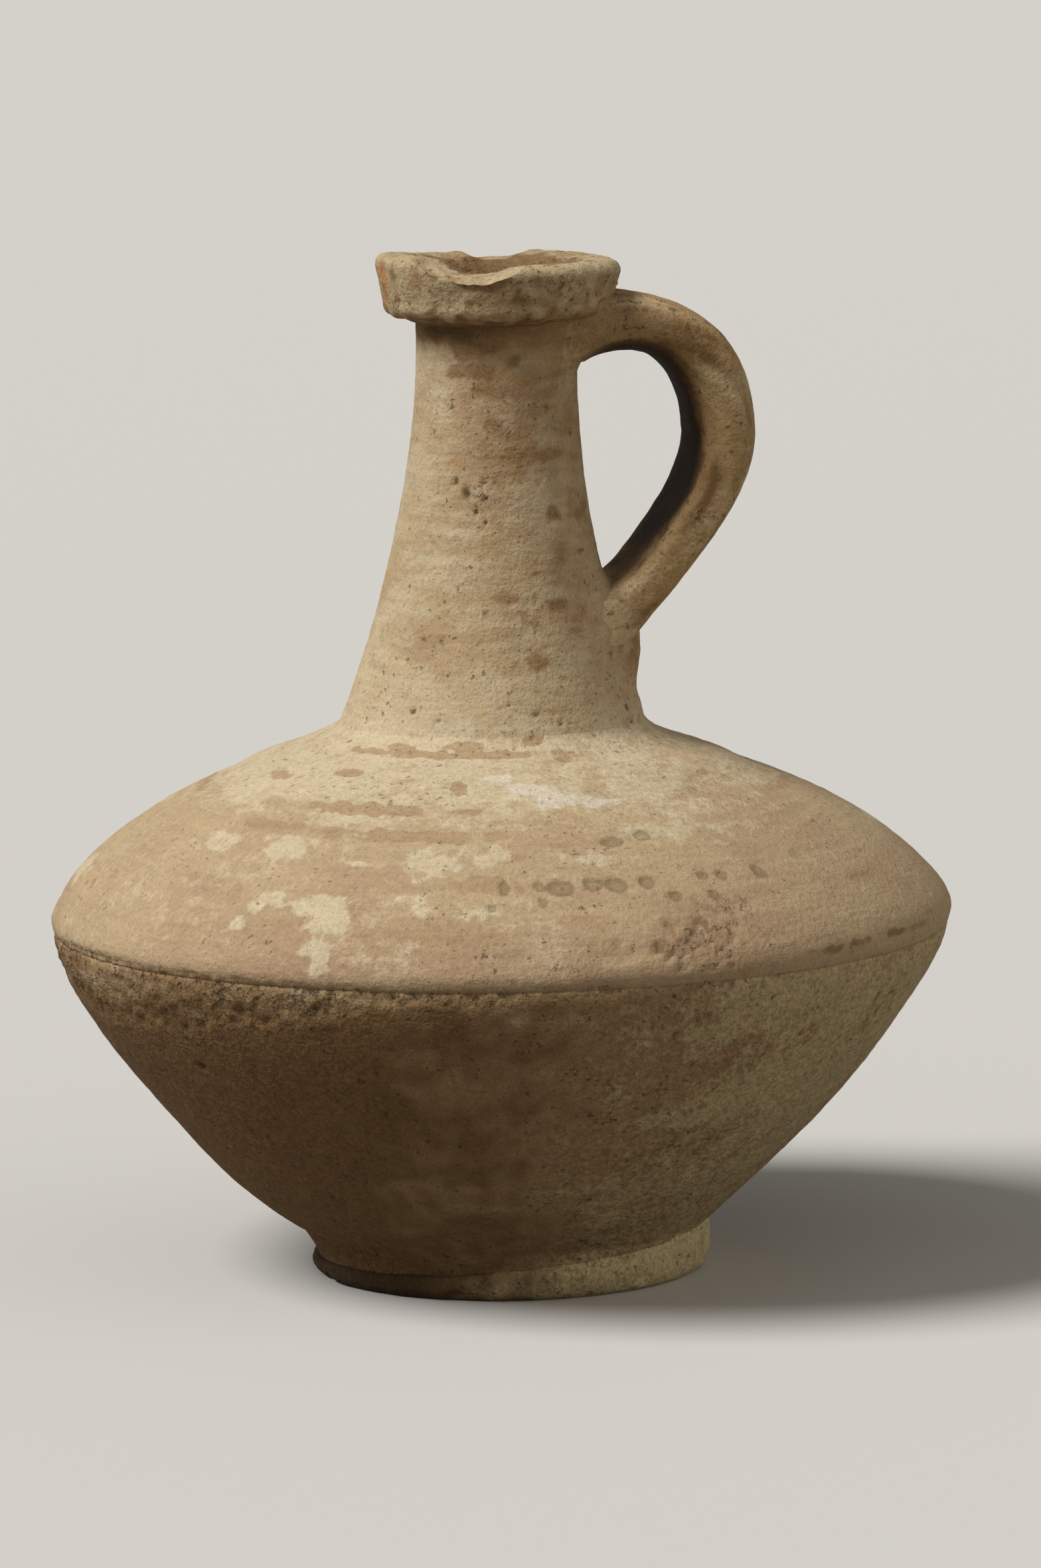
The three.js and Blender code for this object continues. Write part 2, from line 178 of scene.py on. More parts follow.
class Skin:
    """The points of a piece in millimetres, with ways to say what lies where on the jug."""

    def __init__(self, mesh, ring):
        count = len(mesh.vertices)
        self.points = np.empty(count * 3)
        mesh.vertices.foreach_get("co", self.points)
        self.points = self.points.reshape(count, 3) / MM
        self.out = np.empty(count * 3)
        mesh.vertex_normals.foreach_get("vector", self.out)
        self.out = self.out.reshape(count, 3)
        self.radius = np.hypot(self.points[:, 0], self.points[:, 1])
        self.angle = np.degrees(np.arctan2(self.points[:, 1], self.points[:, 0]))
        self.height = self.points[:, 2]
        self.ring = ring(self.radius, self.height)
        self.frayed = self.lumps(4, 3.7) + 0.6 * self.lumps(1.9, 5.3)
        self.edge = np.clip(1.5 - abs(self.height - EDGE_Z) / 1.2, 0, 1) * (self.radius > 87)
        outward = self.points * (1, 1, 0) / np.maximum(self.radius, 1)[:, None]
        self.out += self.edge[:, None] * (outward - self.out)

    def lumps(self, size, shift=0.0):
        """Smooth unevenness from about -1 to 1, in lumps of one size."""
        return uneven(*(self.points.T / size + shift))

    def streaks(self, size, shift=0.0):
        """The same, drawn out round the jug by the wheel."""
        stretch = (3 + 0.1 * self.radius) / np.maximum(self.radius, 1)
        drawn = np.array([self.points[:, 0] * stretch, self.points[:, 1] * stretch, self.ring])
        return uneven(*(drawn / size + shift))

    def near(self, mark):
        """The points round a mark, and how far from its middle they are, 1 at its edge."""
        angle, radius, height, around, up = mark[:5]
        climb = np.hypot(self.radius - radius, self.height - height) / up
        spots = np.flatnonzero(climb < 2)
        turn = (self.angle[spots] - angle + 180) % 360 - 180
        return spots, np.hypot(np.radians(turn) * self.radius[spots] / around, climb[spots])

    def marked(self, marks, ragged=0.3, soft=0.5):
        """How deep each point lies in a mark, from 0 to the mark's strength."""
        rough = ragged * self.frayed
        share = np.zeros(len(self.points))
        for mark in marks:
            strength = mark[5] if len(mark) > 5 else 1
            spots, away = self.near(mark)
            depth = np.clip((1 - away + rough[spots]) / soft, 0, 1)
            share[spots] = np.maximum(share[spots], strength * depth)
        return share

    def cracks(self, size, shift, width):
        """1 along winding lines, about one size apart."""
        return np.clip(1.4 - abs(self.lumps(size, shift)) / width, 0, 1)

    def crumbled(self):
        """1 where the edge between bowl and shoulder has crumbled away."""
        angle = np.where(self.angle > 75, self.angle - 360, self.angle)
        depth = np.interp(angle, CRUMBLE_ANGLES, CRUMBLE_DEPTHS) + 2.2 * self.lumps(6, 5.6) + self.lumps(2.2, 1.1)
        below = np.clip((depth - (EDGE_Z - self.height)) / 2, 0, 1)
        above = np.clip((depth - 8 * (self.height - EDGE_Z)) / 2, 0, 1)
        return np.where(self.height < EDGE_Z, below, above)

    def within(self, low, high, soft):
        """1 between two heights, fading out over a soft margin."""
        below = np.clip((self.height - low) / soft + 0.5, 0, 1)
        above = np.clip((high - self.height) / soft + 0.5, 0, 1)
        return below * above

    def facing(self, angle, spread):
        """1 on the side at an angle, fading to 0 at the spread's end."""
        turn = abs((self.angle - angle + 180) % 360 - 180)
        return np.clip(1.5 - 1.5 * turn / spread, 0, 1)


# Marks: angle round the jug, radius, height, half length round it, half length up it, and strength where it is not 1
CREAM_MARKS = [  # patches of thick cream slip
    (-139, 68.2, 92.3, 6.4, 4.0), (-153, 68.0, 92.4, 6.6, 3.0), (-113, 70.4, 91.0, 6.0, 5.6),
    (-139.5, 84.0, 80.1, 2.2, 3.0), (-138, 81.3, 82.8, 3.0, 2.2), (-135, 79.6, 84.4, 3.8, 2.2),
    (-131, 79.8, 84.3, 3.0, 2.0), (-128, 80.1, 84.0, 5.4, 3.8), (-126, 83.0, 81.2, 5.0, 4.2),
    (-127, 86.4, 77.2, 3.6, 4.2), (-126, 88.2, 74.0, 3.0, 2.8), (-122, 70.8, 90.8, 6.6, 1.0),
    (-114, 79.9, 84.1, 3.6, 2.8), (-106, 81.2, 83.0, 5.0, 3.2), (-103, 69.6, 91.5, 4.0, 4.0),
    (-84, 70.0, 91.2, 10.4, 3.0, 0.6), (-73, 63.9, 94.6, 12.3, 4.5, 0.5), (-56, 62.6, 95.3, 17.6, 8.0, 0.5),
    (-66, 86.8, 76.6, 5.6, 6.2, 0.9), (-54, 82.4, 81.8, 8.8, 4.3, 0.6), (-10, 74, 88, 14, 6, 0.8),
    (25, 60, 96, 20, 5, 0.8), (60, 76, 87, 12, 5), (95, 55, 98, 24, 4), (120, 80, 84, 10, 6),
    (150, 66, 93, 18, 4, 0.8), (170, 82, 82, 9, 5),
]
WHITE_MARKS = [  # white drip beside the neck
    (-101, 43.4, 102.6, 5.2, 2.6), (-94, 48.0, 101.2, 5.6, 3.9), (-88, 51.9, 99.8, 5.6, 3.6),
    (-80, 53.2, 99.3, 4.8, 2.3), (70, 50, 100.4, 9, 3),
]
STREAK_MARKS = [  # streaks where the slip has worn off
    (-117, 34.3, 106.5, 24.6, 1.9), (-112, 32.6, 107.6, 4.9, 2.1), (-135, 32.8, 107.5, 3.5, 1.7),
    (-88, 30.8, 109.0, 3.2, 1.6), (-80, 36.7, 105.3, 2.1, 1.4), (-142, 43.0, 102.8, 4.5, 2.3),
    (-153, 44.6, 102.3, 4.6, 0.7), (-128, 54.4, 98.9, 14.2, 3.0), (-110, 47.2, 101.5, 2.4, 2.7),
    (-108, 54.9, 98.7, 3.1, 1.8), (-115, 63.0, 95.1, 21.5, 2.4), (-125, 62.0, 95.6, 10.8, 2.0),
    (-146, 61.9, 95.6, 9.9, 2.3, 0.7), (-105, 75.3, 87.8, 7.0, 3.6, 0.8), (-108, 84.3, 79.8, 11.3, 4.4, 0.6),
    (-161, 46.9, 101.6, 7.0, 1.9, 0.6), (-99, 68.9, 91.9, 1.8, 1.2), (-95, 83.0, 81.1, 1.5, 0.9, 0.7),
    (-91, 84.3, 79.8, 2.3, 1.2, 0.7), (-44, 47.9, 101.3, 2.5, 1.1, 0.8), (-20, 58, 97.3, 18, 2, 0.7),
    (40, 70, 91, 20, 2.4), (80, 62, 95.5, 16, 2), (115, 66, 93.5, 20, 2.4), (160, 57, 97.8, 18, 2.2),
    (15, 45, 102.2, 12, 1.8), (70, 35, 106, 22, 2),
]
OVAL_FLAWS = [  # shallow oval flaws with a dark rim
    (-83, 65.6, 93.8, 3.4, 2.1), (-77, 64.7, 94.2, 2.2, 1.9), (-94, 76.4, 86.9, 3.2, 2.6),
    (-89, 76.0, 87.2, 2.5, 2.0), (-86, 76.5, 86.9, 2.9, 2.6), (-81, 76.0, 87.2, 2.2, 2.4),
    (-102, 75.9, 87.3, 1.4, 2.4), (-97, 75.7, 87.5, 1.2, 2.0), (-97, 79.2, 84.7, 1.3, 1.9),
    (-72, 75.7, 87.5, 2.0, 1.8), (-69, 76.2, 87.1, 1.8, 1.8), (-62, 76.3, 87.0, 2.0, 2.2),
    (-78, 79.2, 84.8, 2.0, 1.6), (-72, 79.8, 84.2, 1.4, 1.8), (-104, 80.0, 84.0, 1.3, 1.4),
    (-65, 65.2, 93.9, 1.6, 1.2, 0.5), (-43, 81.3, 82.9, 5.1, 1.9, 0.6), (-52, 74.3, 88.5, 2.2, 1.6, 0.6),
    (-101, 87.3, 75.8, 4.8, 1.4, 0.5), (48, 76, 87.2, 2.9, 1.9), (55, 71, 90.6, 2.3, 1.8),
    (131, 74, 88.7, 3.0, 2.0),
]
FLAKED_MARKS = [  # places where the surface flaked off
    (-76, 85.8, 77.9, 9.6, 7.9), (-81, 87.4, 75.5, 6.7, 4.5), (-89, 87.1, 76.0, 7.6, 2.9, 0.6),
    (-70, 81.9, 82.3, 5.8, 3.7, 0.8), (102, 84.5, 79.4, 12, 6),
]
CRACKS = [  # short cracks at the left of the edge
    (-177, 83.2, 80.8, 0.9, 2.6), (-174, 85.8, 62.0, 0.9, 3.0),
]
NECK_PITS = [  # pits of the neck and its base
    (-128, 17.6, 158.2, 0.7, 1.1), (-121, 17.9, 156.0, 0.9, 1.6), (-114, 18.5, 152.6, 0.7, 1.3),
    (-108, 18.9, 150.3, 0.5, 0.7), (-106, 18.2, 154.1, 0.4, 0.4), (-108, 18.1, 155.0, 0.4, 0.4),
    (-110, 17.6, 157.8, 1.0, 0.4), (-103, 17.6, 158.1, 0.8, 0.4), (-122, 21.6, 137.6, 0.5, 0.5),
    (-87, 28.7, 113.6, 1.1, 0.4), (-97, 28.0, 115.6, 0.8, 0.5), (-100, 28.3, 114.9, 0.6, 0.5),
    (-94, 28.4, 114.6, 0.5, 0.4), (-37, 28.9, 113.0, 1.2, 1.3), (-37, 29.9, 110.1, 1.2, 0.7),
    (-136, 28.5, 114.2, 0.8, 0.5), (-124, 29.0, 112.6, 0.8, 0.7), (-153, 28.3, 114.8, 0.6, 0.4),
    (-76, 29.3, 111.8, 0.6, 0.4), (-72, 29.4, 111.6, 0.5, 0.4), (-68, 29.4, 111.5, 0.5, 0.4),
    (-62, 30.8, 109.1, 0.5, 0.4),
]
NECK_ROUGH = [  # rough ground round the gouge in the neck
    (-115, 18.3, 153.7, 3.7, 6.5),
]
# Brown spots just under the collar, 183 to 187 mm high, are partly painted shadow of the collar.
BROWN_MARKS = [  # brown spots of the neck
    (-67, 18.7, 151.2, 2.6, 1.9), (-68, 22.5, 134.1, 2.8, 1.8), (-85, 23.4, 130.9, 3.5, 2.3),
    (-123, 23.5, 130.4, 2.2, 2.6, 0.8), (-108, 22.8, 133.1, 1.3, 1.0), (-63, 20.4, 142.9, 0.8, 0.5),
    (-45, 20.2, 143.8, 1.5, 0.6), (-128, 19.9, 145.1, 0.7, 1.0), (-140, 19.7, 146.4, 1.6, 1.0),
    (-80, 21.0, 140.2, 1.1, 0.5), (-85, 25.4, 123.8, 3.4, 2.4, 0.8), (-137, 24.1, 128.4, 5.5, 2.9, 0.5),
    (-128, 26.1, 121.6, 2.9, 1.8, 0.5), (-141, 16.1, 187.0, 8.7, 2.8, 1.2), (-109, 16.0, 184.6, 3.1, 2.6, 0.8),
    (-126, 15.9, 183.3, 5.8, 3.4, 0.9), (-123, 15.9, 179.9, 7.5, 2.2, 0.9), (-90, 15.9, 181.2, 1.9, 2.3, 0.9),
    (-118, 16.0, 175.9, 2.7, 1.3, 0.8), (-102, 16.4, 169.1, 3.6, 2.1, 0.8), (-111, 16.8, 164.7, 5.6, 2.2, 0.5),
    (-69, 17.0, 162.9, 6.7, 1.3, 0.7), (-151, 18.4, 153.3, 6.4, 1.5, 0.4), (-33, 18.8, 151.0, 3.6, 2.5, 0.6),
    (-98, 22.0, 135.9, 3.9, 1.3, 0.5), (-154, 22.4, 134.7, 2.1, 1.0, 0.5), (60, 17, 168, 5, 4, 0.8),
    (90, 20, 145, 4, 5, 0.7), (150, 19, 150, 5, 6, 0.7), (120, 24, 128, 6, 3, 0.7), (170, 17, 172, 4, 4, 0.6),
]
BLUSH_MARKS = [  # pinkish clay
    (-104, 16.1, 172.9, 8.8, 14.2, 1.2), (-137, 24.1, 128.1, 9.9, 6.5, 0.7), (-122, 18.3, 153.7, 8.6, 5.2, 0.5),
    (-67, 18.8, 150.6, 4.9, 3.9, 0.6), (-126, 15.9, 183.3, 10, 4.5), (-78, 15.9, 181.8, 11, 5),
    (-76, 85.8, 77.9, 12, 9, 0.8), (-110, 85, 79, 30, 4, 0.6), (-150, 78, 86, 22, 5, 0.5), (60, 17, 165, 9, 12),
    (150, 19, 150, 9, 14),
]
EDGE_STAINS = [  # brown line above the edge
    (-58, 88.7, 72.4, 4.7, 1.2), (-52, 88.6, 72.7, 5.7, 1.2), (-45, 88.6, 72.9, 6.4, 1.1),
    (-37, 88.6, 72.7, 6.5, 0.9, 0.8), (-62, 88.7, 72.5, 2.6, 1.0, 0.7), (20, 88.6, 71.5, 16, 1.2, 0.7),
    (75, 88.6, 71.5, 20, 1.2, 0.8),
]
BOWL_PALE = [  # pale slip on the bowl
    (-101, 86.8, 64.4, 3.9, 3.2), (-60, 87.5, 66.1, 8.5, 4.7), (-71, 87.7, 66.7, 9.3, 2.9, 0.7),
    (-51, 85.6, 61.5, 10, 6.5, 0.7), (-45, 71.3, 39.8, 16, 9, 0.8), (-58, 78, 48, 12, 8, 0.6),
    (-168, 86.5, 63.5, 9, 5, 0.8), (-139, 85.5, 61.5, 6, 3, 0.6), (-128, 86, 62.5, 8, 3, 0.6),
    (-20, 80, 51, 18, 9, 0.7), (30, 84, 58, 16, 6, 0.7), (85, 76, 45, 18, 9, 0.7), (140, 83, 56, 16, 6, 0.7),
]
BOWL_BLUSH = [  # pinkish clay of the bowl
    (-74, 82.9, 56.3, 10, 8), (-62, 80, 52, 9, 6, 0.7), (-100, 82, 55, 20, 6, 0.4), (110, 80, 52, 18, 10, 0.7),
]
BOWL_PITS = [  # pits of the bowl
    (-149, 79.2, 50.3, 1.7, 1.4), (-120, 74, 43, 1.2, 1.1), (-80, 84.5, 59, 1.2, 1.0), (45, 78, 48, 1.6, 1.5),
    (160, 82, 55, 1.4, 1.3),
]
RIM_OCHRE = [  # ochre spots of the collar
    (-174, 23.6, 195.9, 4.5, 6.5), (-118, 22.5, 197, 5, 2.2, 0.8), (170, 23, 194, 5, 4, 0.7),
    (-35, 23.5, 194, 5, 3, 0.5), (95, 23, 195, 8, 4, 0.6),
]

# Crumbled edge: angle round the jug, and how far below the edge it reaches
CRUMBLE_ANGLES = (-285, -230, -195, -172, -150, -128, -112, -100, -88, -60, 75)
CRUMBLE_DEPTHS = (0.5, 2, 7, 13, 12, 7, 3.2, 1.2, 0.6, 0.3, 0.5)


def scattered(count, seed, place, smallest, largest):
    """Small flaws strewn over the whole round."""
    dice = random.Random(seed)
    flaws = []
    for _ in range(count):
        radius, height = place(dice.random())
        size = smallest + (largest - smallest) * dice.random() ** 2
        flaws.append((360 * dice.random(), radius, height, size * (0.8 + 0.8 * dice.random()), size))
    return flaws


def at_share(line):
    """Place on an outline at a share of its height."""
    line = np.array(line)

    def place(share):
        height = line[0, 1] + share * (line[-1, 1] - line[0, 1])
        return float(np.interp(height, line[:, 1], line[:, 0])), height

    return place


UPPER_FLAWS = (scattered(60, 3, at_share(DOME), 0.5, 1.1) + scattered(70, 5, at_share(NECK), 0.4, 0.9)
               + scattered(50, 8, at_share(NECK[:18]), 0.5, 1.2))
BOWL_FLAWS = scattered(70, 11, at_share(BOWL), 0.5, 1.2)


def flake_lines(skin):
    """1 along the cracks of the flaked places."""
    return np.maximum(skin.cracks(3.1, 6.3, 0.16), 0.7 * skin.cracks(1.8, 2.1, 0.16))


# Tones: how much slip, blush, stain, ochre and dark grit each point shows, from 0 to 1. The slip tone also carries
# painted light on lit sides, and the stain and flaw tones also carry painted shade and painted shadow.
# The numbers are strengths, then sizes or places in millimetres and degrees.

def upper_tones(skin):
    """Neck, coil and shoulder were dipped in one slip, worn off in streaks."""
    on_neck = np.clip((skin.height - 112) / 16, 0, 1)
    near_neck = np.clip((62 - skin.radius) / 14, 0, 1)
    crumbled = skin.crumbled()
    flaked = skin.marked(FLAKED_MARKS, 0.5, 0.6)
    brown = skin.marked(BROWN_MARKS, 0.5, 0.6)
    slip = 0.32 + 0.36 * near_neck - 0.24 * on_neck - 0.12 * skin.facing(-25, 90) * (1 - on_neck)
    # Painted light: the neck gets more slip on its side towards the key light, at 170 degrees, so it reads lighter
    # there.
    slip += 0.1 * skin.facing(170, 70) * on_neck + (0.1 + 0.12 * on_neck) * skin.streaks(2.4, 1.3)
    slip += 0.16 * skin.lumps(15, 5.1) + 0.14 * skin.lumps(5, 2.2)
    slip += 0.46 * skin.marked(CREAM_MARKS, 0.6, 0.55)
    slip -= 0.4 * flaked + 0.5 * crumbled + 0.35 * skin.within(66, 84, 6) * skin.facing(-45, 50)
    blush = 0.3 + 0.4 * skin.lumps(24, 8.4) + 0.25 * skin.streaks(4, 6.6)
    blush += 0.7 * skin.marked(BLUSH_MARKS, 0.5, 0.9) + 0.2 * skin.facing(-115, 100) * (1 - near_neck)
    stain = 0.05 + 0.16 * skin.lumps(11, 4.4)
    stain += on_neck * (0.12 + 0.16 * skin.streaks(1.7, 9.1) + 0.2 * skin.lumps(5, 3))
    # Painted shade: the neck is browner on its side turned from the key light, at -60 degrees, and lighter on its lit
    # side, at -175 degrees.
    stain += on_neck * (0.2 * skin.facing(-60, 90) - 0.12 * skin.facing(-175, 60))
    stain += 0.14 * skin.within(158, 186, 10) * skin.facing(-100, 70)
    stain += 0.8 * skin.marked(EDGE_STAINS, 0.5) + 0.3 * crumbled + 0.55 * brown + 0.25 * flaked
    # Painted shadow of the collar: darker on the left of the neck just under it.
    stain += 0.8 * np.clip((skin.height - 181) / 6, 0, 1) * skin.facing(-150, 100)
    flaw = 0.7 * skin.marked(OVAL_FLAWS, 0.25, 0.25) - 0.32 * skin.marked(OVAL_FLAWS, 0.25, 0.9)
    flaw += 0.9 * skin.marked(NECK_PITS + CRACKS, 0.6, 0.8)
    flaw += 0.6 * flaked * flake_lines(skin)
    flaw += 0.35 * np.clip(brown - 0.8, 0, 0.4) / 0.4
    # Painted shadow of the collar, in the dark flaw colour, on the left of the neck just under it.
    flaw += 0.5 * np.clip((skin.height - 184.5) / 3, 0, 1) * skin.facing(-140, 90)
    grit = 0.1 + 0.25 * skin.lumps(13, 7.7) + 0.3 * skin.marked(NECK_ROUGH, 0.5, 0.8) + 0.02 * on_neck
    grit += 0.1 * skin.within(106, 122, 8) + 0.45 * crumbled + 0.3 * flaked + 0.1 * brown
    ochre = 0.44 + 0.06 * skin.lumps(7, 6.1) + 0.06 * skin.facing(-60, 90)
    ochre = np.clip((skin.height - 105) / 8, 0, 1) * ochre
    worn, chalk = skin.marked(STREAK_MARKS, 0.5, 0.35), skin.marked(WHITE_MARKS, 0.4, 0.6)
    return {"slip": slip, "worn": worn, "chalk": chalk, "blush": blush,
            "stain": stain, "ochre": ochre, "flaw": flaw, "grit": grit}


def bowl_tones(skin):
    """The bowl stayed bare, apart from drips of slip, and is gritty under its edge. Its left side has painted shade
    and its right side painted light.
    """
    crumbled = skin.crumbled()
    slip = 0.18 + 0.12 * skin.streaks(3, 3.1) + 0.2 * skin.lumps(13, 1.7) + 0.16 * skin.lumps(4.5, 7.2)
    # Painted light: more slip on the right side, towards the fill light.
    slip += 0.45 * skin.marked(BOWL_PALE, 0.5) + 0.5 * skin.facing(-33, 65)
    blush = 0.3 + 0.35 * skin.lumps(22, 2.8) + 0.6 * skin.marked(BOWL_BLUSH, 0.5, 0.9)
    stain = 0.16 + 0.3 * skin.lumps(16, 6.2) + 0.15 * skin.streaks(4, 4.9) + 0.25 * skin.lumps(4, 2.9)
    # Painted shade on the left side, under the shoulder's overhang; lighter on the right side.
    stain += 0.9 * skin.facing(-162, 78) - 0.25 * skin.facing(-35, 60)
    # Painted shade: a darker band 56 to 62 mm high on the left, below the lit strip under the edge.
    stain += 0.25 * skin.within(56, 62, 6) * skin.facing(-150, 70) - 0.5 * crumbled
    grit = 0.12 + 0.25 * skin.lumps(12, 9.9) + 0.35 * crumbled
    flaw = 0.8 * skin.marked(BOWL_PITS + CRACKS, 0.2, 0.6)
    chalk = crumbled * (0.26 + 0.2 * skin.lumps(1.7, 4.1) + 0.2 * skin.lumps(5, 2.3))
    return {"slip": slip, "chalk": chalk, "blush": blush, "stain": stain, "flaw": flaw, "grit": grit}


def foot_tones(skin):
    """Pale clay, with painted shadow of the bowl on its left and painted light on its right."""
    # Painted light: more slip on the right side.
    slip = 0.45 + 0.3 * skin.lumps(9, 1.9) + 0.4 * skin.facing(-30, 90)
    blush = 0.25 + 0.3 * skin.lumps(20, 6.1)
    # Painted shadow of the bowl on the left side.
    stain = 0.1 + 0.35 * skin.lumps(7, 3.3) + 0.25 * skin.lumps(3, 1.2) + 0.9 * skin.facing(-160, 75)
    grit = 0.25 + 0.3 * skin.lumps(8, 5.5)
    # The flaw tone is painted shadow of the bowl on the left side.
    return {"slip": slip, "blush": blush, "stain": stain, "flaw": 1.2 * skin.facing(-168, 65), "grit": grit}


def rim_tones(skin):
    """Mottled clay, with painted shade under the collar and down in the mouth, and painted light on its left side and
    on the top of its right side.
    """
    # Painted shade under the collar's overhang; it darkens the stain and flaw tones.
    collar_shade = np.clip((191.5 - skin.height) / 3, 0, 1)
    # Painted light: more slip on the left side, towards the key light, and on the top of the right side.
    slip = 0.4 + 0.3 * skin.lumps(9, 4.1) + 0.35 * skin.lumps(3.4, 8.8) + 0.25 * skin.facing(-150, 50)
    slip += 0.5 * skin.facing(-40, 75) * np.clip((skin.height - 197) / 2.5, 0, 1)
    blush = 0.35 + 0.4 * skin.lumps(12, 7.3) + 0.5 * skin.marked([(-112, 22, 197.4, 7, 3)], 0.4)
    stain = 0.26 + 0.3 * skin.lumps(8, 2.4) + 0.45 * skin.lumps(2.8, 6.1) + 0.5 * collar_shade
    # Painted shade down in the mouth.
    stain += 0.8 * np.clip((17.5 - skin.radius) / 3, 0, 1)
    ochre = 0.05 + 0.15 * skin.lumps(6, 1.1) + 0.8 * skin.marked(RIM_OCHRE, 0.5, 0.9)
    grit = 0.3 + 0.3 * skin.lumps(7, 6.6)
    return {"slip": slip, "blush": blush, "stain": stain, "ochre": ochre, "flaw": 0.4 * collar_shade, "grit": grit}


GAP_MIDDLE = (28, 0, 160)  # of the finger gap


def handle_tones(skin):
    """Clay streaked along the pulled strap, with painted shade of the neck on the inner face that looks into the gap.
    """
    to_gap = np.array(GAP_MIDDLE) - skin.points
    along = np.arctan2(-to_gap[:, 2], -to_gap[:, 0])
    across = np.hypot(to_gap[:, 0], to_gap[:, 2])

    def pulled(size, shift):
        """Unevenness drawn out along the strap."""
        return uneven(across / size + shift, skin.points[:, 1] / size + shift, 1.3 * along + shift)

    # inner: painted shade that the neck casts on the strap's inner face; it lowers the slip and raises the stain and
    # flaw tones.
    inner = np.sum(skin.out * to_gap, axis=1) / np.linalg.norm(to_gap, axis=1)
    inner = np.clip(2.4 * inner - 0.9, 0, 1)
    root = np.clip((neck_radius(skin.height) + 7 - skin.radius) / 8, 0, 1)
    inner = inner * (1 - root)
    slip = 0.32 + 0.24 * skin.lumps(11, 3.9) + 0.5 * pulled(3.6, 5.7) - 0.4 * inner + 0.45 * root
    blush = 0.35 + 0.4 * skin.lumps(16, 1.4)
    stain = 0.28 + 0.2 * skin.lumps(9, 8.2) + 0.5 * pulled(2.6, 4.4) + 0.6 * inner - 0.3 * root
    ochre = 0.12 + 0.35 * skin.lumps(13, 9.4) + 0.4 * pulled(3.1, 2.9) - 0.2 * root
    grit = 0.25 + 0.3 * skin.lumps(9, 2.7)
    return {"slip": slip, "blush": blush, "stain": stain, "ochre": ochre, "flaw": inner, "grit": grit}


# Relief: how far each point stands out from the smooth shape, in millimetres

def hand(skin):
    """Unevenness that throwing and handling leave."""
    return 0.22 * skin.lumps(34, 2.6) + 0.1 * skin.lumps(12, 7.1) + 0.035 * skin.lumps(2.6, 1.2)


def crumbs(skin):
    """Broken, gritty clay."""
    return 0.34 * skin.lumps(2.3, 8.1) + 0.24 * skin.lumps(1.3, 1.6) - 0.25


def upper_relief(skin):
    flaked = skin.marked(FLAKED_MARKS, 0.5, 0.6)
    move = 0.06 * skin.streaks(1.4, 4.2) + 0.05 * skin.streaks(3, 8.3) + 0.03 * skin.lumps(1.6, 2.4)
    move += flaked * (0.5 * abs(skin.lumps(3.4, 6.3)) - 0.25 + 0.2 * skin.lumps(1.5, 3.1))
    move -= flaked * 0.5 * flake_lines(skin)
    move += skin.marked(NECK_ROUGH, 0.5, 0.9) * 0.2 * skin.lumps(1.5, 5.2)
    move -= 0.3 * skin.marked(OVAL_FLAWS, 0.2, 0.5)
    move -= 0.45 * skin.marked(NECK_PITS, 0.6, 0.8) + 0.7 * skin.marked(CRACKS, 0.2, 0.7)
    move -= 0.22 * skin.marked(UPPER_FLAWS, 0.2, 0.8)
    move += 0.07 * (skin.marked(CREAM_MARKS, 0.6, 0.55) - skin.marked(STREAK_MARKS, 0.5, 0.35))
    return hand(skin) + 1.2 * skin.crumbled() * crumbs(skin) + move * (1 - skin.edge)


def bowl_relief(skin):
    move = 0.06 * skin.streaks(3, 2.9) + 0.08 * skin.lumps(1.7, 4.8) + 0.07 * skin.lumps(4.4, 7.5)
    move -= 0.55 * skin.marked(BOWL_PITS, 0.15, 0.7) + 0.7 * skin.marked(CRACKS, 0.2, 0.7)
    move -= 0.3 * skin.marked(BOWL_FLAWS, 0.2, 0.8)
    return hand(skin) + 1.2 * skin.crumbled() * crumbs(skin) + move * (1 - skin.edge)


FOOT_NOTCHES = [
    (-171, 38.3, 0.8, 1.5, 1.7), (-164, 38.4, 0.5, 1.0, 1.0), (-120, 39, 1.0, 2.0, 1.2, 0.6),
    (-62, 39, 3.0, 2.0, 2.0, 0.5), (40, 39, 2.0, 3.0, 1.6, 0.7), (120, 39, 1.5, 2.5, 1.5, 0.7),
]


def foot_relief(skin):
    """Uneven and notched, but flat where the jug stands."""
    standing = np.clip(skin.height / 1.2, 0, 1)
    move = 0.35 * skin.lumps(11, 3.8) + 0.22 * skin.lumps(4.5, 6.4) + 0.08 * skin.lumps(1.8, 2.1)
    return (move - 1.3 * skin.marked(FOOT_NOTCHES, 0.2, 0.8)) * standing + 0.1 * (1 - standing)


RIM_FLAKES = [
    (-112, 23.6, 197.2, 5.6, 2.6, 0.8), (-128, 23.6, 198.6, 4, 1.6, 0.5), (30, 23.5, 196, 5, 2.5, 0.5),
    (-172, 23.5, 198, 3, 2, 0.4), (120, 23.5, 197, 6, 3, 0.6),
]


def rim_relief(skin):
    outer = np.clip((skin.radius - 15) / 4, 0, 1)
    move = 0.28 * skin.lumps(9, 5.9) + 0.2 * skin.lumps(4, 1.8) + 0.1 * skin.lumps(1.8, 7.7)
    return move * outer - 1.3 * skin.marked(RIM_FLAKES, 0.15, 0.8)


def handle_relief(skin):
    return 0.24 * skin.lumps(18, 4.6) + 0.14 * skin.lumps(6, 2.3) + 0.08 * skin.lumps(2.2, 9.2)


